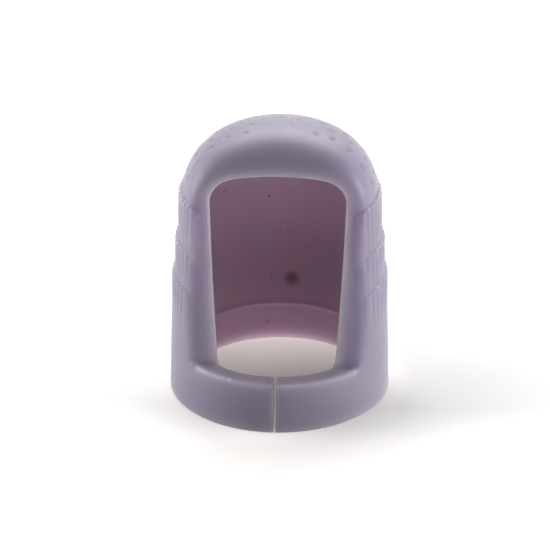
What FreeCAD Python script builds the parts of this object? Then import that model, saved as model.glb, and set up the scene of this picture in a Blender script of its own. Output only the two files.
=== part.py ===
import FreeCAD, Part
import math
import os

import Sketcher

# Soft moulded finger thimble, one piece, standing on its open mouth.
# Origin at the middle of the mouth, +Z up, the nail window faces -Y. Millimetres.

# Every size that can be chosen by itself, with what it measures.
SIZES = (
    ("base_radius", 10.5, "outside, at the mouth"),
    ("skirt_taper", 0.17, "how far the wall leans in from the mouth to the ribbed tiers"),
    ("tier_taper", 1.0, "how far it leans in from there to the foot of the dome"),
    ("tip_height", 27.14, "top of the dome"),
    ("dome_rise", 6.24, "height of the dome above the upper tier"),
    ("dome_corner", 6.0, "radius of the dome's outer shoulder arc"),
    ("upper_tier", 4.8, "height of the upper tier"),
    ("middle_tier", 3.7, "height of the middle tier"),
    ("lower_tier", 3.7, "height of the lower tier"),
    ("rib_pitch", 5.0, "degrees from one rib to the next"),
    ("rib_first", 60.0, "degrees from the front to the first groove of the middle tier"),
    ("rib_groove", 0.74, "width of a groove between two ribs at its top"),
    ("tier_setback", 0.06, "how far the tiers' front faces lie behind the window's cut plane"),
    ("tier_edge", 0.28, "bevel of a tier's top edge"),
    ("ring_height", 5.07, "height of the band below the window"),
    ("sill_setback", 4.05, "from the outside of the mouth back to the window's cut plane, at the band"),
    ("window_lean", 7.0, "degrees that the cut plane leans back"),
    ("arm_round", 1.3, "rounding of the window frame's outer edge on the arms"),
    ("brow_round", 4.1, "the same rounding at the top of the dome"),
    ("band_round", 0.45, "the same rounding along the top of the band"),
    ("sill_round", 0.5, "hollow corner where the arms rise from the band"),
    ("lip_bevel", 0.25, "bevel of the window's inner edge"),
    ("mouth_wall", 1.65, "thickness of the wall at the mouth"),
    ("mouth_depth", 3.6, "height of the wide mouth inside"),
    ("step_rise", 0.4, "height of the slanted step above the mouth"),
    ("step_in", 0.35, "how far the step narrows the room"),
    ("finger_taper", 0.7, "how far the room narrows from the step to the ceiling's curve"),
    ("tip_wall", 2.54, "thickness of the tip at the axis"),
    ("ceiling_rise", 3.0, "height of the ceiling's curve"),
    ("ceiling_corner", 2.5, "radius of the curve from wall to ceiling"),
    ("mouth_edge", 0.2, "bevel of the mouth's rims"),
    ("slit_width", 0.22, "width of the slit in the front band"),
    ("dimple_width", 1.0, "width of a dimple over its corners"),
    ("dimple_depth", 0.18, "depth of a dimple"),
    ("dimple_pitch", 1.75, "distance from one row of dimples to the next, along the dome"),
)

# Rows of dimples round the tip, from the top down: how many a full turn would hold,
# and how many there are, even about the back. An odd row has one at the very back.
DIMPLE_ROWS = ((5, 2), (12, 7), (18, 10), (24, 14), (28, 17), (30, 18))

# A dimple is a flat-bottomed pit with this many sides, near enough round at its size.
DIMPLE_SIDES = 8

CLEAR = 2.0
"""How far a cutting shape reaches past what it cuts."""


def make_sheet(doc):
    """Write the driving sizes, one named cell each."""
    sheet = doc.addObject("Spreadsheet::Sheet", "Sizes")
    for row, (name, size, note) in enumerate(SIZES, start=1):
        sheet.set(f"A{row}", name)
        sheet.set(f"B{row}", str(size))
        sheet.set(f"C{row}", note)
        sheet.setAlias(f"B{row}", name)
    doc.recompute()
    return sheet


def size(body, expression):
    """Number that an expression of the sheet gives."""
    found = body.evalExpression(expression)
    return float(getattr(found, "Value", found))


def origin_plane(body, role):
    """One of the body's own three middle planes."""
    for feature in body.Origin.OriginFeatures:
        if feature.Role == role:
            return feature
    raise ValueError(role)


def new_sketch(body, name, role):
    """Empty sketch on one of the body's middle planes."""
    sketch = body.newObject("Sketcher::SketchObject", name)
    sketch.AttachmentSupport = [(origin_plane(body, role), "")]
    sketch.MapMode = "FlatFace"
    return sketch


def hold_point(sketch, geometry, end, across, up):
    """Tie one end of a line or arc to its place, given by two expressions."""
    for kind, axis, expression in (("DistanceX", -2, across), ("DistanceY", -1, up)):
        distance = size(sketch, expression)
        if abs(distance) < 1e-9:
            sketch.addConstraint(Sketcher.Constraint("PointOnObject", geometry, end, axis))
        elif distance > 0:
            index = sketch.addConstraint(Sketcher.Constraint(kind, -1, 1, geometry, end, distance))
            sketch.setExpression(f"Constraints[{index}]", expression)
        else:
            index = sketch.addConstraint(Sketcher.Constraint(kind, geometry, end, -1, 1, -distance))
            sketch.setExpression(f"Constraints[{index}]", f"-({expression})")


def draw_outline(sketch, corners, closed=True):
    """Straight lines through corners, each given by two expressions."""
    points = [FreeCAD.Vector(size(sketch, across), size(sketch, up), 0) for across, up in corners]
    lines = []
    for start, end in zip(points, points[1:]):
        lines.append(sketch.addGeometry(Part.LineSegment(start, end), False))
    if closed:
        lines.append(sketch.addGeometry(Part.LineSegment(points[-1], points[0]), False))
    for first, second in zip(lines, lines[1:]):
        sketch.addConstraint(Sketcher.Constraint("Coincident", first, 2, second, 1))
    if closed:
        sketch.addConstraint(Sketcher.Constraint("Coincident", lines[-1], 2, lines[0], 1))
    for line, (across, up) in zip(lines, corners):
        hold_point(sketch, line, 1, across, up)
    if not closed:
        hold_point(sketch, lines[-1], 2, *corners[-1])
    return lines


def add_arc(sketch, centre, radius, start, end):
    """Arc about a centre from one angle to another, in degrees, anticlockwise."""
    circle = Part.Circle(FreeCAD.Vector(centre[0], centre[1], 0), FreeCAD.Vector(0, 0, 1), radius)
    arc = Part.ArcOfCircle(circle, math.radians(start), math.radians(end))
    return sketch.addGeometry(arc, False)


def hold_radius(sketch, arc, expression):
    """Tie an arc's radius to an expression."""
    index = sketch.addConstraint(Sketcher.Constraint("Radius", arc, size(sketch, expression)))
    sketch.setExpression(f"Constraints[{index}]", expression)


def crown_radius(across, rise, corner):
    """Radius of the crown arc that closes a dome above a corner arc, tangent to it.

    The corner arc's centre lies across from the axis and rise below the top. The two
    centres are crown - corner apart, across sideways and crown - rise in height, so
    crown = (across^2 + rise^2 - corner^2) / (2 (rise - corner)).
    """
    return (across**2 + rise**2 - corner**2) / (2 * (rise - corner))


def dome_form(body, wall_run, half_width, foot, top, corner):
    """Centres and radii of a dome's corner arc and crown arc, and how far the corner
    arc's end lies from upright, in degrees.

    wall_run is how far the wall below leans in over its rise.
    """
    lean = math.atan(wall_run)
    bend = size(body, corner)
    across = size(body, half_width) - bend * math.cos(lean)
    level = size(body, foot) - bend * math.sin(lean)
    rise = size(body, top) - level
    crown = crown_radius(across, rise, bend)
    turn = math.degrees(math.atan2(across, crown - rise))
    return across, level, bend, level + rise - crown, crown, turn, math.degrees(lean)


def draw_dome(sketch, wall, half_width, foot, top, corner):
    """Half a dome that goes on from a leaning wall: a corner arc and a crown arc."""
    line = sketch.Geometry[wall]
    run = line.EndPoint - line.StartPoint
    across, level, bend, crown_level, crown, turn, lean = dome_form(
        sketch, run.x / run.y, half_width, foot, top, corner
    )
    corner_arc = add_arc(sketch, (-across, level), bend, 90 + turn, 180 - lean)
    crown_arc = add_arc(sketch, (0, crown_level), crown, 90, 90 + turn)
    sketch.addConstraint(Sketcher.Constraint("Tangent", wall, 2, corner_arc, 2))
    sketch.addConstraint(Sketcher.Constraint("Tangent", corner_arc, 1, crown_arc, 2))
    hold_radius(sketch, corner_arc, corner)
    sketch.addConstraint(Sketcher.Constraint("PointOnObject", crown_arc, 3, -2))
    hold_point(sketch, crown_arc, 1, "0", top)


def full_turn(body, kind, name, sketch):
    """Turn a sketch right round the upright axis."""
    feature = body.newObject(kind, name)
    feature.Profile = sketch
    feature.ReferenceAxis = (sketch, ["V_Axis"])
    feature.Angle = 360
    return feature


def edge_points(edge):
    """Three points along an edge: near both ends and in the middle."""
    first, last = edge.ParameterRange
    return [edge.valueAt(first + (last - first) * part) for part in (0.1, 0.5, 0.9)]


def edges_where(shape, test):
    """Number and edge of each edge whose sampled points all pass a test."""
    found = []
    for number, edge in enumerate(shape.Edges, start=1):
        if not edge.Degenerated and all(test(point) for point in edge_points(edge)):
            found.append((number, edge))
    return found


# Sizes that follow from the driving ones.
SKIRT_RADIUS = "(Sizes.base_radius - Sizes.skirt_taper)"
SHOULDER_RADIUS = f"({SKIRT_RADIUS} - Sizes.tier_taper)"
SHOULDER = "(Sizes.tip_height - Sizes.dome_rise)"
SKIRT_TOP = f"({SHOULDER} - Sizes.upper_tier - Sizes.middle_tier - Sizes.lower_tier)"
SILL_DEPTH = "(Sizes.base_radius - Sizes.sill_setback)"
CUT_SLOPE = "tan(Sizes.window_lean * 1 deg)"
MOUTH_BORE = "(Sizes.base_radius - Sizes.mouth_wall)"
THROAT_RADIUS = f"({MOUTH_BORE} - Sizes.step_in)"
FINGER_RADIUS = f"({THROAT_RADIUS} - Sizes.finger_taper)"
CEILING = "(Sizes.tip_height - Sizes.tip_wall)"
CEILING_START = f"({CEILING} - Sizes.ceiling_rise)"


def cone_radius(height):
    """Radius of the plain conical wall behind the ribs at a height."""
    return (
        f"({SKIRT_RADIUS} - Sizes.tier_taper * (({height}) - {SKIRT_TOP})"
        f" / ({SHOULDER} - {SKIRT_TOP}))"
    )


def cut_front(body, depth):
    """Cut the front away above the band, along a plane that leans back from a depth."""
    sketch = new_sketch(body, "WindowSide", "YZ_Plane")
    above = f"(Sizes.tip_height + {CLEAR})"
    outside = f"-(Sizes.base_radius + {CLEAR})"
    plane_top = f"-({depth} - ({above} - Sizes.ring_height) * {CUT_SLOPE})"
    draw_outline(
        sketch,
        (
            (outside, "Sizes.ring_height"),
            (f"-{depth}", "Sizes.ring_height"),
            (plane_top, above),
            (outside, above),
        ),
    )
    cut = body.newObject("PartDesign::Pocket", "FrontCut")
    cut.Profile = sketch
    cut.Midplane = True
    cut.setExpression("Length", f"2 * Sizes.base_radius + {2 * CLEAR}")
    return cut


def before_cut(body, point, depth):
    """How far a point lies before the leaning cut plane that starts at a depth."""
    rise = point.z - size(body, "Sizes.ring_height")
    return -point.y - size(body, depth) + rise * size(body, CUT_SLOPE)


def make_blank(doc):
    """Solid outer form without ribs: skirt, cone and dome, with the front cut away."""
    body = doc.addObject("PartDesign::Body", "Blank")
    sketch = new_sketch(body, "Silhouette", "YZ_Plane")
    lines = draw_outline(
        sketch,
        (
            ("0", "Sizes.tip_height"),
            ("0", "0"),
            ("-Sizes.base_radius", "0"),
            (f"-{SKIRT_RADIUS}", SKIRT_TOP),
            (f"-{SHOULDER_RADIUS}", SHOULDER),
        ),
        closed=False,
    )
    draw_dome(sketch, lines[-1], SHOULDER_RADIUS, SHOULDER, "Sizes.tip_height", "Sizes.dome_corner")
    full_turn(body, "PartDesign::Revolution", "Form", sketch)
    front = cut_front(body, SILL_DEPTH)
    doc.recompute()
    sill = edges_where(
        front.Shape,
        lambda point: abs(point.z - size(body, "Sizes.ring_height")) < 1e-4
        and abs(before_cut(body, point, SILL_DEPTH)) < 1e-4,
    )
    round_edges(body, "SillCorner", front, sill, "Sizes.sill_round")
    return body


def frame_rounds(body):
    """Edges round the window frame's outside, each with the radii at its two ends.

    The edges form one smooth loop, listed from the foot of the left arm upwards. The
    rounding is arm_round on the arms, grows along the dome's edge to brow_round at the
    middle of the top, and shrinks in the hollow corners to band_round along the band.
    """
    band = size(body, "Sizes.ring_height")
    arm_foot = band + size(body, "Sizes.sill_round")
    shoulder = size(body, SHOULDER)
    arm, brow, low = (size(body, f"Sizes.{name}_round") for name in ("arm", "brow", "band"))
    front = edges_where(
        body.Shape,
        lambda point: point.z > band - 1e-4 and before_cut(body, point, SILL_DEPTH) > -1e-4,
    )
    sides = []
    for side in (-1, 1):
        edges = [(number, edge) for number, edge in front if edge.CenterOfMass.x * side > 1e-3]
        edges.sort(key=lambda item: item[1].CenterOfMass.z)
        dome_length = sum(edge.Length for number, edge in edges if edge.CenterOfMass.z > shoulder)
        rounds = []
        done = 0.0
        for number, edge in edges:
            height = edge.CenterOfMass.z
            if height > shoulder:
                start = arm + (brow - arm) * done / dome_length
                done += edge.Length
                rounds.append((number, start, arm + (brow - arm) * done / dome_length))
            elif height > arm_foot:
                rounds.append((number, arm, arm))
            elif height > band + 1e-3:
                rounds.append((number, low, arm))
            else:
                rounds.append((number, low, low))
        sides.append(rounds)
    loop = sides[0] + [(number, end, start) for number, start, end in reversed(sides[1])]
    foot = next(item for item in loop if item[1] == item[2] == arm)
    loop.remove(foot)
    loop.insert(0, foot)
    # The two radii follow the loop in the sense in which its first edge runs.
    first = body.Shape.Edges[foot[0] - 1]
    low_end, high_end = (first.valueAt(end).z for end in first.ParameterRange)
    if low_end > high_end:
        loop = [(number, end, start) for number, start, end in loop]
    return loop


def round_frame(doc, blank):
    """The blank with the window frame's outer edge rolled over."""
    rolled = doc.addObject("Part::Fillet", "RolledFrame")
    rolled.Base = blank
    rolled.Edges = frame_rounds(blank)
    doc.recompute()
    return rolled


def groove_count(body, odd):
    """How many grooves a tier has, even about the back."""
    side = 180 - size(body, "Sizes.rib_first")
    steps = math.floor(side / size(body, "Sizes.rib_pitch") + 1e-6)
    return 2 * steps + 1 if odd else 2 * steps


def make_tier(doc, name, foot, height, odd):
    """One ribbed tier: a solid disc with the window's front cut and grooves round it.

    Its wall is upright and meets the cone at its foot. The grooves are as deep as the
    cone at the top of the tier and run out at its foot.
    """
    body = doc.addObject("PartDesign::Body", name)
    top = f"({foot} + {height})"
    crest = cone_radius(foot)
    valley = cone_radius(top)
    sketch = new_sketch(body, f"{name}Side", "YZ_Plane")
    low = f"({foot} - Sizes.tier_edge)"
    draw_outline(sketch, (("0", top), ("0", low), (f"-{crest}", low), (f"-{crest}", top)))
    full_turn(body, "PartDesign::Revolution", f"{name}Disc", sketch)
    depth = f"({SILL_DEPTH} - Sizes.tier_setback)"
    front = cut_front(body, depth)
    doc.recompute()
    crest_size = size(body, crest)
    top_size = size(body, top)
    corners = edges_where(
        front.Shape,
        lambda point: abs(before_cut(body, point, depth)) < 1e-4
        and abs(math.hypot(point.x, point.y) - crest_size) < 1e-4,
    )
    turn = body.newObject("PartDesign::Fillet", f"{name}Corners")
    turn.Base = (front, [f"Edge{number}" for number, edge in corners])
    turn.setExpression("Radius", "Sizes.arm_round")
    doc.recompute()
    rim = edges_where(
        turn.Shape,
        lambda point: abs(point.z - top_size) < 1e-4
        and before_cut(body, point, depth) < -1e-3,
    )
    bevel_edges(body, f"{name}Edge", turn, rim, "Sizes.tier_edge")
    cut_grooves(body, name, valley, crest, top, height, odd)
    doc.recompute()
    return body


def cut_grooves(body, name, valley, crest, top, height, odd):
    """V grooves that follow the cone behind a tier, all round but for the front."""
    count = groove_count(body, odd)
    turn = (count - 1) / 2 * size(body, "Sizes.rib_pitch")
    sketch = new_sketch(body, f"{name}Groove", "XY_Plane")
    sketch.setExpression("AttachmentOffset.Base.z", top)
    outer = f"({crest} + ({crest} - {valley}))"
    spread = "Sizes.rib_groove"
    sine = f"sin({turn} deg)"
    cosine = f"cos({turn} deg)"
    draw_outline(
        sketch,
        (
            (f"{valley} * {sine}", f"{valley} * {cosine}"),
            (
                f"({outer} * {sine} + {spread} * {cosine})",
                f"({outer} * {cosine} - {spread} * {sine})",
            ),
            (
                f"({outer} * {sine} - {spread} * {cosine})",
                f"({outer} * {cosine} + {spread} * {sine})",
            ),
        ),
    )
    groove = body.newObject("PartDesign::Pocket", f"{name}FirstGroove")
    groove.Profile = sketch
    groove.UseCustomVector = True
    groove.AlongSketchNormal = True
    groove.setExpression("Direction.x", f"({crest} - {valley}) * {sine}")
    groove.setExpression("Direction.y", f"({crest} - {valley}) * {cosine}")
    groove.setExpression("Direction.z", f"-{height}")
    groove.setExpression("Length", f"({height} + Sizes.tier_edge)")
    pattern = body.newObject("PartDesign::PolarPattern", f"{name}Grooves")
    pattern.Originals = [groove]
    pattern.Axis = (sketch, ["N_Axis"])
    pattern.Occurrences = count
    pattern.setExpression("Angle", f"{count - 1} * Sizes.rib_pitch")
    body.Tip = pattern


def make_tiers(doc):
    """The three tiers, each with its grooves half a pitch off the next one's."""
    lower_foot = SKIRT_TOP
    middle_foot = f"({SKIRT_TOP} + Sizes.lower_tier)"
    upper_foot = f"({SHOULDER} - Sizes.upper_tier)"
    return [
        make_tier(doc, "LowerTier", lower_foot, "Sizes.lower_tier", False),
        make_tier(doc, "MiddleTier", middle_foot, "Sizes.middle_tier", True),
        make_tier(doc, "UpperTier", upper_foot, "Sizes.upper_tier", False),
    ]


def join_outside(doc, tip, tiers):
    """The whole outer form as one solid."""
    outside = doc.addObject("Part::MultiFuse", "Outside")
    outside.Shapes = [tip] + tiers
    outside.Refine = True
    doc.recompute()
    return outside


def hollow_out(body):
    """Cut the room for the finger: wide mouth, slanted step, tapering wall, ceiling."""
    sketch = new_sketch(body, "Room", "YZ_Plane")
    lines = draw_outline(
        sketch,
        (
            ("0", CEILING),
            ("0", f"-{CLEAR}"),
            (f"-{MOUTH_BORE}", f"-{CLEAR}"),
            (f"-{MOUTH_BORE}", "Sizes.mouth_depth"),
            (f"-{THROAT_RADIUS}", "(Sizes.mouth_depth + Sizes.step_rise)"),
            (f"-{FINGER_RADIUS}", CEILING_START),
        ),
        closed=False,
    )
    draw_dome(sketch, lines[-1], FINGER_RADIUS, CEILING_START, CEILING, "Sizes.ceiling_corner")
    return full_turn(body, "PartDesign::Groove", "FingerRoom", sketch)


def round_edges(body, name, base, found, radius):
    """Round a set of edges with one radius."""
    fillet = body.newObject("PartDesign::Fillet", name)
    fillet.Base = (base, [f"Edge{number}" for number, edge in found])
    fillet.setExpression("Radius", radius)
    body.Document.recompute()
    return fillet


def bevel_edges(body, name, base, found, bevel):
    """Bevel a set of edges alike."""
    chamfer = body.newObject("PartDesign::Chamfer", name)
    chamfer.Base = (base, [f"Edge{number}" for number, edge in found])
    chamfer.setExpression("Size", bevel)
    body.Document.recompute()
    return chamfer


def make_slit(body):
    """Narrow upright slit through the middle of the front band."""
    sketch = new_sketch(body, "SlitPlan", "XY_Plane")
    half = "(Sizes.slit_width / 2)"
    outside = f"-(Sizes.base_radius + {CLEAR})"
    inside = f"-({THROAT_RADIUS} - {CLEAR / 2})"
    draw_outline(
        sketch,
        ((f"-{half}", outside), (half, outside), (half, inside), (f"-{half}", inside)),
    )
    slit = body.newObject("PartDesign::Pocket", "Slit")
    slit.Profile = sketch
    slit.Reversed = True
    slit.setExpression("Length", f"Sizes.ring_height + {CLEAR}")
    return slit


def dimple_seat(body, step):
    """Place of a dimple's floor, seen from the side at the back, and how its axis leans.

    The surface point lies step along the dome's outline from the top: first on the
    crown arc, then on the corner arc. The lean is in radians from upright.
    """
    across, level, bend, crown_level, crown, turn, lean = dome_form(
        body,
        size(body, f"Sizes.tier_taper / ({SHOULDER} - {SKIRT_TOP})"),
        SHOULDER_RADIUS,
        SHOULDER,
        "Sizes.tip_height",
        "Sizes.dome_corner",
    )
    depth = size(body, "Sizes.dimple_depth")
    crown_end = math.radians(turn) * crown
    if step < crown_end:
        angle = step / crown
        reach = crown - depth
        return reach * math.sin(angle), crown_level + reach * math.cos(angle), angle
    angle = math.radians(turn) + (step - crown_end) / bend
    reach = bend - depth
    return across + reach * math.sin(angle), level + reach * math.cos(angle), angle


def make_dimples(body):
    """Rows of shallow dimples over the back and sides of the dome."""
    plan = new_sketch(body, "DimpleAxis", "XY_Plane")
    for row, (full, count) in enumerate(DIMPLE_ROWS, start=1):
        across, height, lean = dimple_seat(body, row * size(body, "Sizes.dimple_pitch"))
        turn = (count - 1) / 2 * 360 / full
        pit = body.newObject("PartDesign::SubtractivePrism", f"Dimple{row}")
        pit.Polygon = DIMPLE_SIDES
        pit.setExpression("Circumradius", "Sizes.dimple_width / 2")
        pit.setExpression("Height", "2 * Sizes.dimple_depth")
        seat = FreeCAD.Placement(
            FreeCAD.Vector(0, across, height),
            FreeCAD.Rotation(FreeCAD.Vector(1, 0, 0), -math.degrees(lean)),
        )
        up = FreeCAD.Vector(0, 0, 1)
        first = FreeCAD.Placement(FreeCAD.Vector(), FreeCAD.Rotation(up, -turn))
        pit.Placement = first.multiply(seat)
        body.Document.recompute()
        pattern = body.newObject("PartDesign::PolarPattern", f"DimpleRow{row}")
        pattern.Originals = [pit]
        pattern.Axis = (plan, ["N_Axis"])
        pattern.Occurrences = count
        pattern.Angle = (count - 1) * 360 / full
        body.Tip = pattern
        body.Document.recompute()


def dimple_tip(doc, rolled):
    """The outer form with the rows of dimples pressed into its tip."""
    body = doc.addObject("PartDesign::Body", "DimpledForm")
    body.BaseFeature = rolled
    doc.recompute()
    make_dimples(body)
    return body


def crease_angle(shape, edge):
    """Angle in degrees between the two faces that meet at an edge."""
    faces = shape.ancestorsOfType(edge, Part.Face)
    if len(faces) != 2:
        return 0.0
    point = edge_points(edge)[1]
    sides = [face.normalAt(*face.Surface.parameter(point)) for face in faces]
    return math.degrees(sides[0].getAngle(sides[1]))


def lip_edges(body, shape):
    """The loop of edges where the window meets the room for the finger."""
    foot = size(body, "Sizes.ring_height") - 1e-4
    behind = -size(body, SILL_DEPTH) + size(body, "Sizes.tip_height") * size(body, CUT_SLOPE)
    widest = size(body, THROAT_RADIUS) + 1e-3
    near = edges_where(
        shape,
        lambda point: point.z > foot
        and point.z < size(body, CEILING)
        and point.y < behind
        and math.hypot(point.x, point.y) < widest,
    )
    return [(number, edge) for number, edge in near if crease_angle(shape, edge) > 30]


def make_thimble(doc, outside):
    """The finished thimble: room for the finger, bevelled lips, slit in the band."""
    body = doc.addObject("PartDesign::Body", "thimble")
    body.BaseFeature = outside
    doc.recompute()
    room = hollow_out(body)
    doc.recompute()
    lip = bevel_edges(body, "WindowLip", room, lip_edges(body, room.Shape), "Sizes.lip_bevel")
    rims = edges_where(lip.Shape, lambda point: abs(point.z) < 1e-4)
    bevel_edges(body, "MouthRims", lip, rims, "Sizes.mouth_edge")
    make_slit(body)
    doc.recompute()
    return body


def check_document(doc, body):
    """Stop if a step of the model failed or the thimble isn't one even, closed solid."""
    for item in doc.Objects:
        if "Invalid" in item.State or "Error" in item.State:
            raise RuntimeError(f"{item.Name}: {item.State}")
    shape = body.Shape
    if shape.isNull() or not shape.isValid() or len(shape.Solids) != 1:
        raise RuntimeError("the thimble isn't one valid solid")
    if abs(shape.Solids[0].CenterOfMass.x) > 0.01:
        raise RuntimeError("the thimble isn't even about its middle plane")


if __name__ == "__main__":
    document = FreeCAD.newDocument("Thimble")
    make_sheet(document)
    rolled_form = round_frame(document, make_blank(document))
    tip_form = dimple_tip(document, rolled_form)
    outer_form = join_outside(document, tip_form, make_tiers(document))
    thimble = make_thimble(document, outer_form)
    check_document(document, thimble)
    os.makedirs("parts", exist_ok=True)
    thimble.Shape.exportStep("parts/thimble.step")
    box = thimble.Shape.optimalBoundingBox()
    print(f"thimble {box.XLength:.2f} x {box.YLength:.2f} x {box.ZLength:.2f} mm")
    print(f"volume {thimble.Shape.Volume:.1f} mm3, {len(thimble.Shape.Faces)} faces")
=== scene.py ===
import bmesh
import bpy
import numpy as np
from mathutils import Matrix, Vector


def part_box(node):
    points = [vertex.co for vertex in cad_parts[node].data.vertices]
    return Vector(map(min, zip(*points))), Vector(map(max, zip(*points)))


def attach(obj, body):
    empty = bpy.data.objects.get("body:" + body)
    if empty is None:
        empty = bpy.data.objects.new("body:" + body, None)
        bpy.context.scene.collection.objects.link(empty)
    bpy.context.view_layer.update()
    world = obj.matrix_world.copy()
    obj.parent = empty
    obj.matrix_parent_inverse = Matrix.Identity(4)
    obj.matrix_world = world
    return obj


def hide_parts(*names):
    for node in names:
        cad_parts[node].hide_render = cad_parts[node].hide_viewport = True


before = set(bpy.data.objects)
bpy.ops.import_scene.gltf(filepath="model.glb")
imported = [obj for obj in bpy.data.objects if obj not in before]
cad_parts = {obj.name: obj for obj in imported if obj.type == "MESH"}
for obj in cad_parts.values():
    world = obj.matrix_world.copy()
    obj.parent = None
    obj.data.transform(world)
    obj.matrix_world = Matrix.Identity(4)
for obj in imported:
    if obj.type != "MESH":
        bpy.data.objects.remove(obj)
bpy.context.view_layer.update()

# Thimble: one soft moulding of lilac-grey silicone, a tapered sleeve with a domed tip,
# ribbed tiers round it, a nail window in front and a slit band below the window.
# It is one skin here, outside and inside in one mesh, worked out in millimetres.
MM = 0.001
box_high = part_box("thimble")[1]
BASE_RADIUS = box_high[0] / MM
TIP = box_high[2] / MM
SKIRT_RADIUS = BASE_RADIUS - 0.17
SHOULDER_RADIUS = SKIRT_RADIUS - 1.0
SHOULDER = TIP - 6.24
TIER_FEET = (SHOULDER - 12.2, SHOULDER - 8.5, SHOULDER - 4.8)
TIER_TOPS = (SHOULDER - 8.5, SHOULDER - 4.8, SHOULDER)
BAND_TOP = 5.07
SILL_DEPTH = BASE_RADIUS - 4.05
LEAN = np.radians(7.0)


def upright(points, across, up):
    """Normals of a turned form: across along the radius from Z, up along Z."""
    radius = np.maximum(np.hypot(points[..., 0], points[..., 1]), 1e-9)
    normal = np.zeros_like(points)
    normal[..., 0] = across * points[..., 0] / radius
    normal[..., 1] = across * points[..., 1] / radius
    normal[..., 2] = up
    return normal


def leaning_wall(points, foot, top):
    """Distance outside a cone about Z through two (radius, height) points."""
    run, rise = top[0] - foot[0], top[1] - foot[1]
    length = np.hypot(run, rise)
    across, up = rise / length, -run / length
    radius = np.hypot(points[..., 0], points[..., 1])
    distance = (radius - foot[0]) * across + (points[..., 2] - foot[1]) * up
    return distance, upright(points, across, up)


def dome(points, foot, shoulder, top, bend):
    """Distance outside a wall from foot to shoulder that goes on into a dome.

    A corner arc of radius bend is tangent to the wall at the shoulder, and a crown arc
    about a centre on Z closes it. The crown's radius is
    (across^2 + rise^2 - bend^2) / (2 (rise - bend)), from the corner arc's centre.
    """
    wall, wall_normal = leaning_wall(points, foot, shoulder)
    lean = np.arctan2(foot[0] - shoulder[0], shoulder[1] - foot[1])
    across = shoulder[0] - bend * np.cos(lean)
    level = shoulder[1] - bend * np.sin(lean)
    rise = top - level
    crown = (across**2 + rise**2 - bend**2) / (2 * (rise - bend))
    crown_level = top - crown
    radius = np.hypot(points[..., 0], points[..., 1])
    side, climb = radius - across, points[..., 2] - level
    corner_reach = np.maximum(np.hypot(side, climb), 1e-9)
    crown_climb = points[..., 2] - crown_level
    crown_reach = np.hypot(radius, crown_climb)
    on_crown = (radius * (level - crown_level) < across * crown_climb) & (climb > 0)
    on_wall = ~on_crown & (np.arctan2(climb, side) < lean)
    distance = np.where(on_crown, crown_reach - crown, corner_reach - bend)
    out = np.where(on_crown, radius / crown_reach, side / corner_reach)
    up = np.where(on_crown, crown_climb / crown_reach, climb / corner_reach)
    distance = np.where(on_wall, wall, distance)
    normal = np.where(on_wall[..., None], wall_normal, upright(points, out, up))
    return distance, normal


def roll_over(first, second, radius):
    """Solid inside two surfaces whose edge is rolled over with a radius.

    A surface is (distance outside it, normal). With A and B the distances from the
    surfaces moved in by the radius, and c the cosine between the normals, the distance
    from the rolling ball's centre is sqrt((A^2 + B^2 - 2 A B c) / (1 - c^2)).
    """
    (one, one_normal), (two, two_normal) = first, second
    side_one, side_two = one + radius, two + radius
    cosine = np.clip((one_normal * two_normal).sum(-1), -0.995, 0.995)
    share_one = (side_one - side_two * cosine) / (1 - cosine**2)
    share_two = (side_two - side_one * cosine) / (1 - cosine**2)
    ball = share_one[..., None] * one_normal + share_two[..., None] * two_normal
    reach = np.maximum(np.linalg.norm(ball, axis=-1), 1e-9)
    rolled = (share_one > 0) & (share_two > 0)
    distance = np.where(rolled, reach - radius, np.maximum(one, two))
    flat = np.where((one > two)[..., None], one_normal, two_normal)
    normal = np.where(rolled[..., None], ball / reach[..., None], flat)
    return distance, normal


def hollow_corner(first, second, radius):
    """Solid inside either of two surfaces, their inner corner filled with a radius."""
    distance, normal = roll_over((-first[0], -first[1]), (-second[0], -second[1]), radius)
    return -distance, -normal


def window_plane(points):
    """Distance in front of the leaning plane along which the front is cut away."""
    normal = np.array([0.0, -np.cos(LEAN), np.sin(LEAN)])
    on_plane = np.array([0.0, -SILL_DEPTH, BAND_TOP])
    return (points - on_plane) @ normal, np.broadcast_to(normal, points.shape)


def level_plane(points, level, sense):
    """Distance above a level, or below it where sense is -1."""
    normal = np.array([0.0, 0.0, float(sense)])
    return (points[..., 2] - level) * sense, np.broadcast_to(normal, points.shape)


def smooth_step(value, start, end):
    """0 before start, 1 after end, eased between: 3 t^2 - 2 t^3 at the part t of the way."""
    part = np.clip((value - start) / (end - start), 0.0, 1.0)
    return part * part * (3 - 2 * part)


ARM_ROUND, BROW_ROUND, BAND_ROUND = 1.3, 4.1, 0.45
BROW_CENTRE, BROW_TURN = SHOULDER - 2.4, np.radians(74.0)
ARM_STARTS, ARM_IS_FULL = 5.15, 6.3


def frame_round(points):
    """Radius of the frame's rolled edge: least on the band, most at the brow's middle.

    It falls from the brow's radius to the arm's with the turn about the brow's centre,
    and from the arm's to the band's with the height where the arm meets the band.
    """
    round_brow = np.arctan2(np.abs(points[..., 0]), points[..., 2] - BROW_CENTRE)
    along = smooth_step(round_brow, 0.0, BROW_TURN)
    rolled = BROW_ROUND + (ARM_ROUND - BROW_ROUND) * along
    on_arm = smooth_step(points[..., 2], ARM_STARTS, ARM_IS_FULL)
    return BAND_ROUND + (rolled - BAND_ROUND) * on_arm


# A tier's front lies just behind the frame's face, but the upper tiers' front corners
# stand out of it. Turns are in degrees from the front.
TIER_SETBACK = 0.06
CORNERS_OUT, TIER_ROUNDS = (0.0, 0.15, 0.36), (1.3, 1.1, 0.8)
CORNER_STARTS, CORNER_IS_FULL = 7.1, 7.9
TIER_EDGE, TIER_OVERLAP = 0.3, 0.4
FIRST_GROOVES = (62.5, 60.0, 62.5)
RIB_TURN = 5.0
RIB_SOFT = 1.7
GROOVES_END = 1.1


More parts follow.
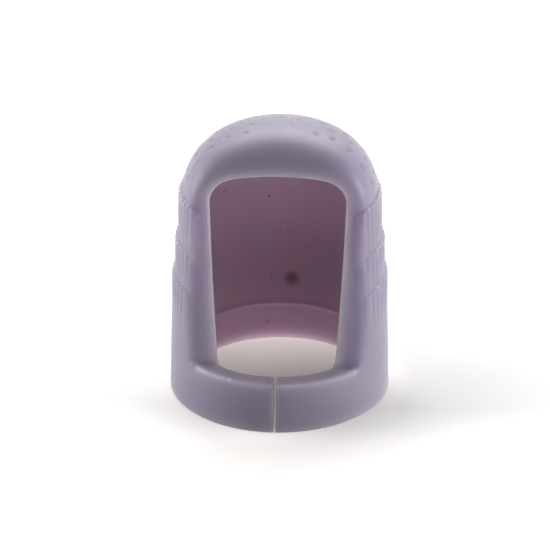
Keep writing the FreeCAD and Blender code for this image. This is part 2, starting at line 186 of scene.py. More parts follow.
def rib_groove(points, foot, depth, first):
    """How deep the grooves between a tier's ribs are: nothing at the foot, full on top.

    depth is (depth at the top, tier's height), and first the turn of the first groove.
    They deepen with the height, to a little over the top. Across one rib the depth
    falls from the groove's middle with (1 - q)^RIB_SOFT, where q is 0 in the groove and
    1 on the crest.
    """
    turn = np.degrees(np.arctan2(np.abs(points[..., 0]), -points[..., 1]))
    step = (turn - first) / RIB_TURN
    beside = np.abs(step - np.round(step)) * 2
    shape = (1 - beside) ** RIB_SOFT
    rise = np.clip((points[..., 2] - foot) / depth[1], 0.0, GROOVES_END)
    return np.where(step > -0.5, shape, 0.0) * rise * depth[0]


def tier(points, number):
    """Distance outside one ribbed tier: an upright wall, its top edge rounded off."""
    foot, top = TIER_FEET[number], TIER_TOPS[number]
    taper = (SKIRT_RADIUS - SHOULDER_RADIUS) / (SHOULDER - TIER_FEET[0])
    crest = SKIRT_RADIUS - taper * (foot - TIER_FEET[0])
    depth = (taper * (top - foot), top - foot)
    groove = rib_groove(points, foot, depth, FIRST_GROOVES[number])
    radius = np.hypot(points[..., 0], points[..., 1])
    wall = (radius - crest + groove, upright(points, 1.0, 0.0))
    body = roll_over(wall, level_plane(points, top, 1), TIER_EDGE)
    front, front_normal = window_plane(points)
    at_corner = smooth_step(np.abs(points[..., 0]), CORNER_STARTS, CORNER_IS_FULL)
    front = front + TIER_SETBACK - CORNERS_OUT[number] * at_corner
    body = roll_over(body, (front, front_normal), TIER_ROUNDS[number])
    below = level_plane(points, foot - TIER_OVERLAP, -1)[0]
    return np.maximum(body[0], below)


DOME_BEND, SILL_FILLET, FOOT_ROUND = 6.0, 0.5, 0.2


def outside(points):
    """Distance outside the thimble's outer form, its front cut away above the band."""
    foot = (SKIRT_RADIUS, TIER_FEET[0])
    shoulder = (SHOULDER_RADIUS, SHOULDER)
    sleeve = dome(points, foot, shoulder, TIP, DOME_BEND)
    skirt = leaning_wall(points, (BASE_RADIUS, 0.0), foot)
    on_skirt = skirt[0] > sleeve[0]
    form = (
        np.where(on_skirt, skirt[0], sleeve[0]),
        np.where(on_skirt[..., None], skirt[1], sleeve[1]),
    )
    band = level_plane(points, BAND_TOP, 1)
    front = hollow_corner(window_plane(points), band, SILL_FILLET)
    form = roll_over(form, front, frame_round(points))
    form = roll_over(form, level_plane(points, 0.0, -1), FOOT_ROUND)
    distance = form[0]
    for number in range(len(TIER_FEET)):
        distance = np.minimum(distance, tier(points, number))
    return distance


MOUTH_BORE, THROAT_RADIUS, FINGER_RADIUS = 8.85, 8.5, 7.8
STEP_FOOT, STEP_TOP, STEP_END = 3.55, 4.0, 4.05
CEILING_START, CEILING, CEILING_BEND = 21.42, 24.42, 2.5
MOUTH_ROUND = 0.2


def inside(points):
    """Distance outside the room for the finger: mouth, step, tapering wall, ceiling.

    The mouth flares by r - sqrt(r^2 - d^2), with r the rim's radius and d how far the
    point is below the rounding's top.
    """
    throat = (THROAT_RADIUS, STEP_TOP)
    ceiling = (FINGER_RADIUS, CEILING_START)
    finger = dome(points, throat, ceiling, CEILING, CEILING_BEND)[0]
    height = points[..., 2]
    below = np.clip(MOUTH_ROUND - height, 0, MOUTH_ROUND)
    flare = MOUTH_ROUND - np.sqrt(np.clip(MOUTH_ROUND**2 - below**2, 0, None))
    lower = np.interp(height, (STEP_FOOT, STEP_END), (MOUTH_BORE, THROAT_RADIUS))
    radius = np.hypot(points[..., 0], points[..., 1])
    return np.where(height < STEP_END, radius - lower - flare, finger)


# The skin is found along rays from the axis. A ray has a turn (from the front) and a
# level; its slope is 0 on the sleeve, 1 at the band so that it meets the band's top
# face, and it fans out to straight up over the dome.
SLOPE_AT = 10.4
LEVELS = np.array([0.0, 0.8, 4.1, 7.0, TIER_FEET[0], SHOULDER])
SLOPES = np.array([0.0, 0.0, 1.0, 1.0, 0.0, 0.0])
FAN = 7.5
LAST_LEVEL = SHOULDER + FAN * np.pi / 2
OVER_FLOOR, LEAST_SLOPE = 0.3, 1e-6
LONGEST_RAY, HALVINGS = 16.0, 28


def ray(turn, level):
    """Start height, direction and first safe reach of the rays.

    A ray's slope s lifts it to its level at the radius SLOPE_AT. Below the floor it
    isn't safe: it reaches height h at the radius SLOPE_AT - (level - h) / s.
    """
    slope = np.interp(level, LEVELS, SLOPES)
    start = np.minimum(level, SHOULDER) - SLOPE_AT * slope
    climb = np.arctan(slope) + np.maximum(level - SHOULDER, 0.0) / FAN
    flat = np.cos(climb)
    direction = np.stack((flat * np.sin(turn), -flat * np.cos(turn), np.sin(climb)), axis=-1)
    radius = SLOPE_AT - (level - OVER_FLOOR) / np.maximum(slope, LEAST_SLOPE)
    safe = np.maximum(0.0, radius) / np.cos(np.arctan(slope))
    return start, direction, np.where(slope > LEAST_SLOPE, safe, 0.0)


def meet(surface, turn, level):
    """Point where each ray leaves a form, found by halving, and its reach."""
    start, direction, near = ray(turn, level)
    far = np.full_like(near, LONGEST_RAY)
    for _ in range(HALVINGS):
        middle = (near + far) / 2
        points = direction * middle[..., None]
        points[..., 2] += start
        beyond = surface(points) > 0
        far = np.where(beyond, middle, far)
        near = np.where(beyond, near, middle)
    points = direction * near[..., None]
    points[..., 2] += start
    return points, near


WINDOW_MIDDLE, WINDOW_TURN, WINDOW_DOWN, WINDOW_UP = 14.0, np.radians(80.0), 10.0, 17.0
EDGE_POINTS, EDGE_HALVINGS = 900, 24


def window_edge():
    """Turn and level of the window's edge, from its foot up to its top, at the middle.

    Looked for outwards from the middle of the window in (turn, level): the edge is
    where the outer form and the room are equally far along the ray.
    """
    bearing = np.linspace(-np.pi / 2, np.pi / 2, EDGE_POINTS)
    across = WINDOW_TURN * np.cos(bearing)
    rise = np.where(bearing < 0, WINDOW_DOWN, WINDOW_UP) * np.sin(bearing)
    near, far = np.zeros(EDGE_POINTS), np.ones(EDGE_POINTS)
    for _ in range(EDGE_HALVINGS):
        part = (near + far) / 2
        turn, level = across * part, WINDOW_MIDDLE + rise * part
        solid = meet(outside, turn, level)[1] > meet(inside, turn, level)[1]
        far = np.where(solid, part, far)
        near = np.where(solid, near, part)
    return across * near, WINDOW_MIDDLE + rise * near


def evenly(start, end, count):
    """Even steps that leave out the end."""
    return np.linspace(start, end, count, endpoint=False)


def run_along(points):
    """Distance from the first of a line of points to each, along the line."""
    steps = np.linalg.norm(np.diff(points, axis=0), axis=1)
    return np.concatenate(([0.0], np.cumsum(steps)))


edge_turn, edge_level = window_edge()
edge_points = meet(inside, edge_turn, edge_level)[0]
edge_radius = np.hypot(edge_points[:, 0], edge_points[:, 1])
edge_run = run_along(edge_points)

# The grid's rows, by level: over the slit, round the window's sill, up the arms with
# close rows at each tier's ledge, round the window's top, and over the crown.
LIP = 0.14
SLIT_HALF, SLIT_EDGE, SLIT_RADIUS = 0.11, 0.08, 10.2
SILL_ROWS, ARCH_ROWS, CROWN_ROWS = 18, 38, 30
RIM_LEVELS = [0.0, 0.03, 0.09, 0.2]
BAND_WALL, BAND_EDGE, BAND_OVER = 0.7, 4.55, 5.6
ARM_FOOT, ARM_HEAD = 8.0, 22.5
ABOVE_FOOT, ABOVE_SHOULDER = 0.3, 0.25
LEDGE_STEPS = np.array([-0.34, -0.22, -0.13, -0.07, -0.03, -0.008, 0.008, 0.04, 0.12])
slit_levels = np.concatenate(
    (
        RIM_LEVELS,
        evenly(BAND_WALL, BAND_EDGE, 7),
        evenly(BAND_EDGE, BAND_OVER, 9),
        evenly(BAND_OVER, edge_level[0] - LIP, 5),
    )
)
tier_rows = np.concatenate(
    [
        np.concatenate((evenly(foot + ABOVE_FOOT, top + LEDGE_STEPS[0], 6), top + LEDGE_STEPS))
        for foot, top in zip(TIER_FEET, TIER_TOPS)
    ]
)
arm_levels = np.concatenate(
    (
        evenly(ARM_FOOT, TIER_FEET[0] + ABOVE_FOOT, 4),
        tier_rows,
        evenly(SHOULDER + ABOVE_SHOULDER, ARM_HEAD, 8),
    )
)

# Where the rows meet the window's edge. From RISING on, the edge only climbs.
RISING = 300
ROWS_START = 0.12
foot_run, *arm_runs, head_run = np.interp(
    [ARM_FOOT, *arm_levels, ARM_HEAD], edge_level[RISING:], edge_run[RISING:]
)
rows_run = np.concatenate(
    (
        evenly(ROWS_START, foot_run, SILL_ROWS),
        arm_runs,
        np.linspace(head_run, edge_run[-1], ARCH_ROWS),
    )
)


def on_edge(run, values):
    """Value at a distance along the window's edge."""
    return np.interp(run, edge_run, values)


# The skin ends a lip's width outside the edge: square to it in (turn, level).
NEARBY = 0.05
row_radius = on_edge(rows_run, edge_radius)
ahead_turn = on_edge(rows_run + NEARBY, edge_turn) - on_edge(rows_run - NEARBY, edge_turn)
along = on_edge(rows_run + NEARBY, edge_level) - on_edge(rows_run - NEARBY, edge_level)
across = ahead_turn * row_radius
length = np.hypot(across, along)
lip_turn = on_edge(rows_run, edge_turn) + LIP * along / length / row_radius
lip_level = on_edge(rows_run, edge_level) - LIP * across / length
lip_turn[-1] = 0.0

# Levels of the rows at the front border and at the side, and of the crown's rows,
# which run from the window's top to the pole.
SIDE_SILL, SIDE_CROWN, SILL_SHARE = 5.95, 27.2, 0.28
slit_turn = np.full(len(slit_levels), np.arcsin((SLIT_HALF + SLIT_EDGE) / SLIT_RADIUS))
border_turn = np.concatenate((slit_turn, lip_turn))
border_level = np.concatenate((slit_levels, lip_level))
left_turn = np.concatenate((border_turn, np.zeros(CROWN_ROWS - 1)))
left_level = np.concatenate(
    (border_level, np.linspace(border_level[-1], LAST_LEVEL, CROWN_ROWS)[1:])
)
over_band = BAND_OVER + (slit_levels - BAND_OVER) * SILL_SHARE
side_level = np.concatenate(
    (
        np.where(slit_levels < BAND_OVER, slit_levels, over_band),
        evenly(SIDE_SILL, ARM_FOOT, SILL_ROWS),
        arm_levels,
        np.linspace(ARM_HEAD, SIDE_CROWN, ARCH_ROWS),
        np.linspace(SIDE_CROWN, LAST_LEVEL, CROWN_ROWS)[1:],
    )
)

# The grid's columns: they fan from the border to the side, closest at the border, and
# from there to the back stand upright, eight to a rib.
FRONT_COLUMNS, FRONT_TURN, FRONT_CROWDING = 32, np.radians(58.0), 1.25
BACK_COLUMNS, COLUMN_TURN = 195, RIB_TURN / 8
back_start = 180.0 - BACK_COLUMNS * COLUMN_TURN
back_turns = np.radians(np.linspace(back_start, 180.0, BACK_COLUMNS + 1))
front_part = evenly(0.0, 1.0, FRONT_COLUMNS) ** FRONT_CROWDING
left_turn, left_level, side_level = left_turn[:, None], left_level[:, None], side_level[:, None]
front_turn = left_turn + (FRONT_TURN - left_turn) * front_part
front_level = left_level + (side_level - left_level) * front_part
back_shape = (len(side_level), len(back_turns))
skin_turn = np.hstack((front_turn, np.broadcast_to(back_turns, back_shape)))
skin_level = np.hstack((front_level, np.broadcast_to(side_level, back_shape)))
outer = meet(outside, skin_turn, skin_level)[0]

# Dimples are pressed into the dome. A row's entry is (how many would go all round,
# how many there are about the back), from the top row down.
DIMPLE_REACH, DIMPLE_DEPTH, DIMPLE_STEP = 0.527, 0.12, 1.75
DIMPLE_ROWS = ((5, 2), (12, 7), (18, 10), (24, 14), (28, 17), (30, 18))
DOME_MIDDLE = SHOULDER - 6.0
OUTLINE_POINTS = 400


def dimple_places():
    """Middles of the dimples: rows a step apart along the dome, even about the back."""
    levels = np.linspace(LAST_LEVEL, SHOULDER, OUTLINE_POINTS)
    outline = meet(outside, np.full(OUTLINE_POINTS, np.pi), levels)[0]
    run = run_along(outline)
    places = []
    for row, (full, count) in enumerate(DIMPLE_ROWS, start=1):
        radius = np.interp(row * DIMPLE_STEP, run, outline[:, 1])
        height = np.interp(row * DIMPLE_STEP, run, outline[:, 2])
        turns = (np.arange(count) - (count - 1) / 2) * 2 * np.pi / full
        level = np.full(count, height)
        places.append(np.stack((radius * np.sin(turns), radius * np.cos(turns), level), axis=-1))
    return np.vstack(places)


def press_dimples(points):
    """Points sunk towards the dome's middle by depth (1 + cos(pi distance / reach)) / 2."""
    depth = np.zeros(points.shape[:-1])
    for place in dimple_places():
        away = np.linalg.norm(points - place, axis=-1) / DIMPLE_REACH
        depth = np.maximum(depth, (1 + np.cos(np.pi * np.clip(away, 0, 1))) / 2)
    inward = points - np.array([0.0, 0.0, DOME_MIDDLE])
    inward /= np.linalg.norm(inward, axis=-1)[..., None]
    return points - inward * (depth * DIMPLE_DEPTH)[..., None]


outer = press_dimples(outer)

# The room's wall is plain, so at the back it takes only one column to a rib.
INNER_FIRST, INNER_SKIP = 3, 8
inner_columns = np.concatenate(
    (np.arange(FRONT_COLUMNS), FRONT_COLUMNS + np.arange(INNER_FIRST, len(back_turns), INNER_SKIP))
)
inner_turn, inner_level = skin_turn[:, inner_columns], skin_level[:, inner_columns]
inner = meet(inside, inner_turn, inner_level)[0]


def bend(start, corner, end, parts):
    """Points on the curve that leaves start towards corner and reaches end from it.

    At the part t of the way the three weigh (1 - t)^2, 2 t (1 - t) and t^2.
    """
    part = np.asarray(parts)[:, None, None]
    return (1 - part) ** 2 * start + 2 * part * (1 - part) * corner + part**2 * end


# A strip of rows across the wall joins the two sides: the slit's face with its
# rounded edges, and the window's lip.
STRIP_ROWS = 5
THINNEST_SHARE = 0.3
slit_count, border_count = len(slit_levels), len(border_turn)
slit_face_turn = np.full(slit_count, np.arcsin(SLIT_HALF / SLIT_RADIUS))
slit_outer = meet(outside, slit_face_turn, slit_levels)[0]
slit_inner = meet(inside, slit_face_turn, slit_levels)[0]
slit_outer[:, 0] = slit_inner[:, 0] = SLIT_HALF
outer[:slit_count, 0, 0] = inner[:slit_count, 0, 0] = SLIT_HALF + SLIT_EDGE
thickness = np.linalg.norm(slit_inner - slit_outer, axis=1)
share = np.minimum(SLIT_EDGE / thickness, THINNEST_SHARE)[:, None]
face_outer = slit_outer + (slit_inner - slit_outer) * share
face_inner = slit_inner - (slit_inner - slit_outer) * share
slit_strip = np.concatenate(
    (
        bend(outer[:slit_count, 0], slit_outer, face_outer, (0.5, 1.0)),
        ((face_outer + face_inner) / 2)[None],
        bend(face_inner, slit_inner, inner[:slit_count, 0], (0.0, 0.5)),
    )
)
lip_points = np.stack([on_edge(rows_run, values) for values in edge_points.T], axis=-1)
lip_points[-1, 0] = 0.0
lip_outer, lip_inner = outer[slit_count:border_count, 0], inner[slit_count:border_count, 0]
lip_strip = bend(lip_outer, lip_points, lip_inner, np.linspace(0, 1, STRIP_ROWS + 2)[1:-1])
strip = np.concatenate((slit_strip, lip_strip), axis=1).transpose(1, 0, 2)


def quads(grid, turned=False):
    """Faces between neighbours of a grid of vertex numbers, one row above another."""
    corners = [grid[:-1, :-1], grid[:-1, 1:], grid[1:, 1:], grid[1:, :-1]]
    if turned:
        corners.reverse()
    return np.stack(corners, axis=-1).reshape(-1, 4)


def numbered(shape, first):
    """Grid of vertex numbers, counted on from the first."""
    return first + np.arange(shape[0] * shape[1]).reshape(shape)


outer_ids = numbered(outer.shape[:2], 0)
inner_ids = numbered(inner.shape[:2], outer_ids.size)
strip_ids = numbered(strip.shape[:2], outer_ids.size + inner_ids.size)
strip_grid = np.hstack((outer_ids[:border_count, :1], strip_ids, inner_ids[:border_count, :1]))
faces = np.concatenate((quads(outer_ids), quads(inner_ids, True), quads(strip_grid, True))).tolist()

# Flat rim of the mouth, from the inner to the outer wall, and its end at the slit.
outer_rim, inner_rim = outer_ids[0], inner_ids[0]
rim_grid = np.stack((inner_rim[:FRONT_COLUMNS], outer_rim[:FRONT_COLUMNS]))
rim_front = quads(rim_grid)
faces += rim_front[1:].tolist()
faces.append(rim_front[0].tolist() + strip_ids[0].tolist())
for far in range(FRONT_COLUMNS, len(inner_columns)):
    near = far - 1
    outer_run = outer_rim[inner_columns[near] : inner_columns[far] + 1]
    faces.append([inner_rim[near], inner_rim[far], *outer_run[::-1]])

half = np.concatenate((outer.reshape(-1, 3), inner.reshape(-1, 3), strip.reshape(-1, 3)))
mirrored = half * np.array([-1.0, 1.0, 1.0])
vertices = np.concatenate((half, mirrored))
other_faces = [[number + len(half) for number in reversed(face)] for face in faces]

# Flash left on the band's edge, left of its middle: a low ragged ridge, its height a
# bell curve across the edge times a sum of two sines along it.
FLASH_HEIGHT, FLASH_WIDTH = 0.12, 0.16
FLASH_STARTS, FLASH_ENDS = (-8.7, -8.2), (-4.9, -4.4)
BAND_OUTSIDE = 9.7
sideways, radius = vertices[:, 0], np.hypot(vertices[:, 0], vertices[:, 1])
on_left = smooth_step(sideways, *FLASH_STARTS) * (1 - smooth_step(sideways, *FLASH_ENDS))
on_front = (vertices[:, 1] < 0) & (radius > BAND_OUTSIDE)
across_edge = np.exp(-(((vertices[:, 2] - BAND_TOP) / FLASH_WIDTH) ** 2))
ragged = 0.55 + 0.3 * np.sin(5.1 * sideways) + 0.2 * np.sin(11.7 * sideways + 1)
vertices[:, 2] += FLASH_HEIGHT * across_edge * on_left * on_front * ragged

# The soft sleeve leans a little to one side as it stands.
SIDE_LEAN = 0.006
vertices[:, 0] += SIDE_LEAN * vertices[:, 2]

SAME_POINT = 0.0004
mesh = bpy.data.meshes.new("thimble_skin")
mesh.from_pydata((vertices * MM).tolist(), [], faces + other_faces)
joined = bmesh.new()
joined.from_mesh(mesh)
bmesh.ops.remove_doubles(joined, verts=joined.verts, dist=SAME_POINT * MM)
joined.to_mesh(mesh)
joined.free()
mesh.polygons.foreach_set("use_smooth", np.ones(len(mesh.polygons), dtype=bool))
thimble_skin = bpy.data.objects.new("thimble_skin", mesh)
bpy.context.collection.objects.link(thimble_skin)

# The layers below hold a value for each point, worked out on the sleeve before it leaned.
coordinates = np.empty(len(mesh.vertices) * 3)
mesh.vertices.foreach_get("co", coordinates)
wall_points = coordinates.reshape(-1, 3) / MM
wall_points[:, 0] -= SIDE_LEAN * wall_points[:, 2]
sideways, height = wall_points[:, 0], wall_points[:, 2]
from_middle = np.abs(sideways)
radius = np.hypot(sideways, wall_points[:, 1])
is_front = wall_points[:, 1] < 0


def point_layer(name, values):
    """Value per point for the material to read."""
    layer = mesh.attributes.new(name, "FLOAT", "POINT")
    layer.data.foreach_set("value", np.ascontiguousarray(values))


# Which side of the wall a point is on: 0 outside, 1 on the room's wall.
EITHER_SIDE = 0.1
nearer_room = np.abs(outside(wall_points)) - np.abs(inside(wall_points))
inward = smooth_step(nearer_room, -EITHER_SIDE, EITHER_SIDE)
point_layer("inner_wall", inward)

# Light comes through thin places: the window's edge, the slit, the mouth's rim and the
# band's outer edge. It falls off as exp(-distance / reach), the distance weighted by
# how much light each place lets through.
LIGHT_REACH, FAR_OFF = 0.38, 9.0
WINDOW_WEIGHT, WINDOW_START, SLIT_WEIGHT, RIM_WEIGHT = 0.25, 0.65, 1.6, 0.8
BAND_CORNER, BAND_ENDS = 10.3, (7.6, 8.4)
off_window = np.full(len(wall_points), FAR_OFF)
folded = np.column_stack((from_middle, wall_points[:, 1], height))
for place in edge_points[::5]:
    off_window = np.minimum(off_window, np.linalg.norm(folded - place, axis=1))
off_window = off_window * WINDOW_WEIGHT + WINDOW_START
at_slit = is_front & (height < BAND_TOP + 1)
off_slit = np.where(at_slit, from_middle - SLIT_HALF, FAR_OFF) * SLIT_WEIGHT
off_rim = height * RIM_WEIGHT
off_band = np.minimum(np.hypot(height - BAND_TOP, radius - BAND_CORNER), FAR_OFF)
on_band = is_front * (1 - smooth_step(from_middle, *BAND_ENDS))
off_band = FAR_OFF - (FAR_OFF - off_band) * on_band
nearest = np.min((off_window, off_slit, off_rim, off_band), axis=0)
point_layer("edge_light", np.clip(np.exp(-nearest / LIGHT_REACH), 0, 1))

# A pale line along the band's outer edge: a painted highlight, strongest at the flash on the left,
# where the pale flash adds to it.
LINE_WIDTH, LINE_STRENGTH, FLASH_STRENGTH = 0.17, 0.45, 0.4
ragged = 0.6 + 0.25 * np.sin(4.3 * sideways) + 0.15 * np.sin(9.7 * sideways)
at_flash = smooth_step(-sideways, 3.6, 4.6)
line_strength = LINE_STRENGTH + FLASH_STRENGTH * at_flash * ragged
point_layer("band_highlight_and_flash", np.exp(-((off_band / LINE_WIDTH) ** 2)) * line_strength)

# The room's wall has painted shade at the mouth, just over the step and on the lower half. A
# row is (strength, heights between which it grows, heights between which it goes).
PAINTED_SHADE_PLACES = (
    (0.3, (3.9, 4.3), (5.0, 16.0)),
    (0.45, (3.9, 4.15), (4.2, 5.0)),
    (0.3, (0.2, 1.6), (3.7, 3.9)),
)
wall_painted_shade = np.zeros(len(wall_points))
for strength, grows, goes in PAINTED_SHADE_PLACES:
    wall_painted_shade += strength * smooth_step(height, *grows) * (1 - smooth_step(height, *goes))
point_layer("wall_painted_shade", wall_painted_shade * inward)

# Silicone: light goes deep into it. Its colour is milky in clouds, with painted light at thin
# edges and a paler, redder tint of painted light on the room's wall, painted shade in places there,
# specks, a painted highlight along the band's edge and crumbs of flash.
silicone = bpy.data.materials.new("silicone")
silicone.use_nodes = True
nodes, links = silicone.node_tree.nodes, silicone.node_tree.links
shader = nodes["Principled BSDF"]
FINISH = {
    "Specular IOR Level": 0.5,
    "Subsurface Radius": (1.0, 0.85, 0.95),
    "Subsurface Scale": 0.005,
    "Sheen Weight": 0.35,
    "Sheen Roughness": 0.5,
}
for name, value in FINISH.items():
    shader.inputs[name].default_value = value
place_in = nodes.new("ShaderNodeTexCoord").outputs["Object"]
# The room's wall takes a paler, redder colour: painted light that stands for light coming through
# the silicone.
OUTER_COLOUR, INNER_COLOUR_WITH_PAINTED_LIGHT = (0.3, 0.264, 0.366, 1), (0.412, 0.338, 0.392, 1)
MILKY_COLOUR, PAINTED_SHADE_COLOUR = (0.37, 0.335, 0.43, 1), (0.2, 0.13, 0.18, 1)
THIN_COLOUR, HIGHLIGHT_AND_FLASH_COLOUR = (0.62, 0.58, 0.68, 1), (0.7, 0.7, 0.76, 1)
SPECK_COLOUR, FLASH_AND_GLINT_COLOUR = (0.07, 0.055, 0.09, 1), (0.85, 0.83, 0.86, 1)


def mixed(first, second, factor):
    """Colour node between two colours or sockets by a factor socket."""
    node = nodes.new("ShaderNodeMix")
    node.data_type = "RGBA"
    for socket, value in ((6, first), (7, second)):
        if isinstance(value, tuple):
            node.inputs[socket].default_value = value
        else:
            links.new(value, node.inputs[socket])
    links.new(factor, node.inputs[0])
    return node.outputs[2]


def between(value, low, high, low_out=0.0, high_out=1.0):
    """Value rescaled from one range to another and held inside it."""
    node = nodes.new("ShaderNodeMapRange")
    links.new(value, node.inputs[0])
    for socket, number in zip((1, 2, 3, 4), (low, high, low_out, high_out)):
        node.inputs[socket].default_value = number
    return node.outputs[0]


def clouds(scale, detail, roughness=0.5):
    """Noise in Object coordinates."""
    node = nodes.new("ShaderNodeTexNoise")
    links.new(place_in, node.inputs["Vector"])
    for name, number in (("Scale", scale), ("Detail", detail), ("Roughness", roughness)):
        node.inputs[name].default_value = number
    return node.outputs[0]


def layer(name):
    """Value of a point layer of the mesh."""
    node = nodes.new("ShaderNodeAttribute")
    node.attribute_name = name
    return node.outputs["Fac"]


def combined(operation, first, second):
    """Two value sockets put together, such as their product."""
    node = nodes.new("ShaderNodeMath")
    node.operation = operation
    links.new(first, node.inputs[0])
    links.new(second, node.inputs[1])
    return node.outputs[0]


def away_from(coordinates, place):
    """Distance from a place, in metres."""
    node = nodes.new("ShaderNodeVectorMath")
    node.operation = "DISTANCE"
    links.new(coordinates, node.inputs[0])
    node.inputs[1].default_value = place
    return node.outputs["Value"]


FULL_PART = 0.3


def spots(places):
    """Factor that is up to a strength inside round spots and 0 outside them.

    It is full up to a part of a spot's reach, and falls evenly from there.
    """
    total = None
    for *place, reach, strength in places:
        away = away_from(place_in, [coordinate * MM for coordinate in place])
        spot = between(away, FULL_PART * reach * MM, reach * MM, strength, 0)
        total = spot if total is None else combined("MAXIMUM", total, spot)
    return total


# Dark specks in the silicone of the room's wall, one dark blot on that wall, and pale crumbs of
# flash on the band's edge, their whiteness partly a painted glint. A row is (x, y, z, reach,
# strength).
SPECKS = (
    (-1.35, 7.89, 15.98, 0.2, 0.75),
    (-0.26, 8.16, 12.18, 0.17, 0.55),
    (-1.2, 8.29, 6.98, 0.17, 0.55),
    (-1.63, 8.7, 1.94, 0.2, 0.5),
    (-5.55, 5.59, 17.59, 0.18, 0.6),
    (2.2, 8.0, 10.6, 0.14, 0.35),
    (0.83, 8.35, 6.88, 1.0, 0.6),
)
FLASH_AND_GLINT_SPOTS = ((-4.32, -9.16, 5.1, 0.25, 0.8), (-8.1, -6.3, 5.1, 0.2, 0.3))
dark_spots = spots(SPECKS)
colour = mixed(OUTER_COLOUR, INNER_COLOUR_WITH_PAINTED_LIGHT, layer("inner_wall"))
colour = mixed(colour, MILKY_COLOUR, between(clouds(160, 3), 0.45, 0.8, 0, 0.5))
colour = mixed(colour, PAINTED_SHADE_COLOUR, between(layer("wall_painted_shade"), 0, 1, 0, 0.6))
colour = mixed(colour, THIN_COLOUR, between(layer("edge_light"), 0.02, 1, 0, 0.5))
colour = mixed(colour, SPECK_COLOUR, dark_spots)
colour = mixed(colour, HIGHLIGHT_AND_FLASH_COLOUR, layer("band_highlight_and_flash"))
colour = mixed(colour, FLASH_AND_GLINT_COLOUR, spots(FLASH_AND_GLINT_SPOTS))
links.new(colour, shader.inputs["Base Color"])
links.new(between(dark_spots, 0, 1, 1, 0.1), shader.inputs["Subsurface Weight"])
grain = nodes.new("ShaderNodeBump")
grain.inputs["Strength"].default_value = 0.12
grain.inputs["Distance"].default_value = 0.00008
links.new(clouds(2600, 4, 0.6), grain.inputs["Height"])
links.new(grain.outputs["Normal"], shader.inputs["Normal"])
links.new(between(clouds(500, 2), 0.3, 0.7, 0.36, 0.46), shader.inputs["Roughness"])
mesh.materials.append(silicone)
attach(thimble_skin, "root")
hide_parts("thimble")

# Floor: a plain sheet of white paper that the thimble stands on, flat and wide enough
# to fill every view. Distances in its material are in metres.
FLOOR_REACH = 3.0
floor_mesh = bpy.data.meshes.new("floor")
corners = [(-1, -1, 0), (1, -1, 0), (1, 1, 0), (-1, 1, 0)]
floor_mesh.from_pydata((np.array(corners) * FLOOR_REACH).tolist(), [], [(0, 1, 2, 3)])
floor = bpy.data.objects.new("floor", floor_mesh)
bpy.context.collection.objects.link(floor)
paper = bpy.data.materials.new("white_paper")
paper.use_nodes = True
nodes, links = paper.node_tree.nodes, paper.node_tree.links
sheet = nodes["Principled BSDF"]
sheet.inputs["Base Color"].default_value = (0.86, 0.85, 0.84, 1)
sheet.inputs["Roughness"].default_value = 0.9
sheet.inputs["Specular IOR Level"].default_value = 0.1
place_on = nodes.new("ShaderNodeTexCoord").outputs["Object"]
split = nodes.new("ShaderNodeSeparateXYZ")
links.new(place_on, split.inputs[0])
from_axis = away_from(place_on, (0, 0, 0))


def glowing(tint, strength):
    """Light of a tint that the sheet gives off, and its strength from a socket."""
    node = nodes.new("ShaderNodeEmission")
    node.inputs["Color"].default_value = tint
    links.new(strength, node.inputs["Strength"])
    return node.outputs[0]


# Seen by the camera the sheet is lifted towards white: less to the right, where this paints a
# shadow, and under the thimble, and more in front, where it paints light over the shadow the top
# light casts.
SHADOW_PLACE = (0.0115, -0.004, 0)
in_light = between(away_from(place_on, SHADOW_PLACE), 0.0, 0.016, 0.0, 0.28)
lift = combined("MULTIPLY", in_light, between(from_axis, 0.0095, 0.0105, 0.42, 1.0))
lift = combined("ADD", lift, between(split.outputs["Y"], -0.005, -0.012, 0.0, 0.22))
is_seen = nodes.new("ShaderNodeLightPath").outputs["Is Camera Ray"]
glow = glowing((1, 0.96, 0.94, 1), combined("MULTIPLY", is_seen, lift))

# The sheet under the soft wall glows, most at the back: painted light that stands for light coming
# through the wall onto it.
under = between(from_axis, 0.0098, 0.013, 1.0, 0.0)
to_back = between(split.outputs["Y"], 0.0, 0.009, 0.1, 0.46)
leak = glowing((1, 0.86, 0.84, 1), combined("MULTIPLY", under, to_back))

whole = sheet.outputs[0]
for part in (glow, leak):
    both = nodes.new("ShaderNodeAddShader")
    links.new(whole, both.inputs[0])
    links.new(part, both.inputs[1])
    whole = both.outputs[0]
links.new(whole, nodes["Material Output"].inputs["Surface"])
floor_mesh.materials.append(paper)

# Studio light: soft boxes above and behind and to both sides, and a dim one in front.
# They all face a point low on the thimble.
LAMPS_AIM = Vector((0, 0, 0.01))


def soft_box(name, place, size, power):
    """Square lamp that faces the thimble."""
    lamp = bpy.data.lights.new(name, "AREA")
    lamp.size = size
    lamp.energy = power
    holder = bpy.data.objects.new(name, lamp)
    holder.location = place
    holder.rotation_euler = (LAMPS_AIM - Vector(place)).to_track_quat("-Z", "Y").to_euler()
    bpy.context.collection.objects.link(holder)


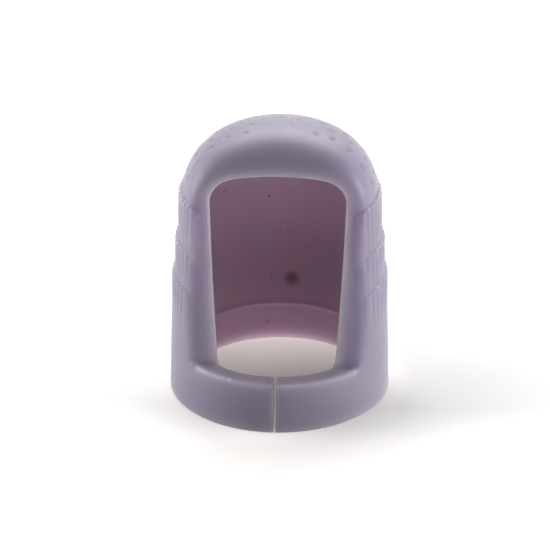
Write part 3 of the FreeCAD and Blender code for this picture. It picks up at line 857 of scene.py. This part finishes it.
soft_box("top_light", (0.0, 0.33, 0.36), 0.4, 1.7)
soft_box("left_light", (-0.5, 0.03, 0.09), 0.35, 2.05)
soft_box("right_light", (0.5, -0.08, 0.1), 0.35, 2.15)
soft_box("front_light", (0.24, -0.45, 0.05), 0.3, 0.24)

# The studio round it is bright behind and dim towards the front. The camera sees white.
world = bpy.data.worlds.new("studio")
bpy.context.scene.world = world
world.use_nodes = True
nodes, links = world.node_tree.nodes, world.node_tree.links
background = nodes["Background"]
background.inputs["Color"].default_value = (1, 1, 1, 1)
split = nodes.new("ShaderNodeSeparateXYZ")
links.new(nodes.new("ShaderNodeTexCoord").outputs["Generated"], split.inputs[0])
white = nodes.new("ShaderNodeMix")
links.new(nodes.new("ShaderNodeLightPath").outputs["Is Camera Ray"], white.inputs[0])
links.new(between(split.outputs["Y"], -0.1, 0.6, 0.09, 0.58), white.inputs[2])
white.inputs[3].default_value = 1.0
links.new(white.outputs[0], background.inputs["Strength"])

# Camera: far off with a long lens, a little above and to the right of the front. The
# focal length is in pixels of the photograph's frame.
CAMERA_AWAY, CAMERA_UP = 0.8, np.radians(27.52)
CAMERA_TURN, CAMERA_ROLL = np.radians(2.9), np.radians(0.208)
AIM = (-0.000396, 0.01154)
PICTURE, FOCAL_PIXELS = 550, 8360.9
ahead = Vector((0, np.cos(CAMERA_UP), -np.sin(CAMERA_UP)))
upward = Vector((0, np.sin(CAMERA_UP), np.cos(CAMERA_UP)))
right = Vector((np.cos(CAMERA_ROLL), 0, 0)) - upward * np.sin(CAMERA_ROLL)
place = Vector((AIM[0], 0, AIM[1])) - ahead * CAMERA_AWAY
turn = Matrix.Rotation(CAMERA_TURN, 3, "Z")
ahead, right, place = turn @ ahead, turn @ right, turn @ place
above = right.cross(ahead)
camera_data = bpy.data.cameras.new("camera")
camera_data.sensor_width = 36
camera_data.lens = FOCAL_PIXELS * camera_data.sensor_width / PICTURE
camera_data.clip_end = 20
camera = bpy.data.objects.new("camera", camera_data)
frame_of_camera = Matrix((right, above, -ahead)).transposed().to_4x4()
frame_of_camera.translation = place
camera.matrix_world = frame_of_camera
bpy.context.collection.objects.link(camera)
bpy.context.scene.camera = camera

bpy.context.scene.view_settings.view_transform = "Standard"
